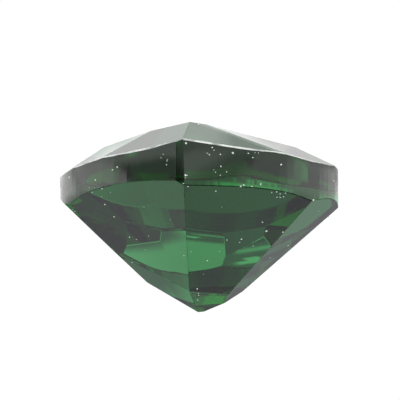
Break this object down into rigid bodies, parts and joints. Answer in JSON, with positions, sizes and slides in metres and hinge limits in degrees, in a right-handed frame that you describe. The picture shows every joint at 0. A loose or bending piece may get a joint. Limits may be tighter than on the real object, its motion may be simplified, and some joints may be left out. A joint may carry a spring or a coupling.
{
  "type": "faceted gemstone",
  "caption": "Pear-shaped faceted green garnet with a thick girdle and a pointed pavilion, lying on its flat table.",
  "frame": {"origin": "middle of the stone's outline, on the plane of the table that it lies on", "axes": "+Z from the table up through the culet; -Y toward the sharp tip of the pear; X across the pear"},
  "size_m": [0.0064, 0.0066, 0.0038],
  "materials": {
    "cut_stone": "clear green crystal, polished facets and a slightly scuffed girdle"
  },
  "bodies": {
    "root": {"cut_stone": "cut_stone"}
  },
  "joints": []
}
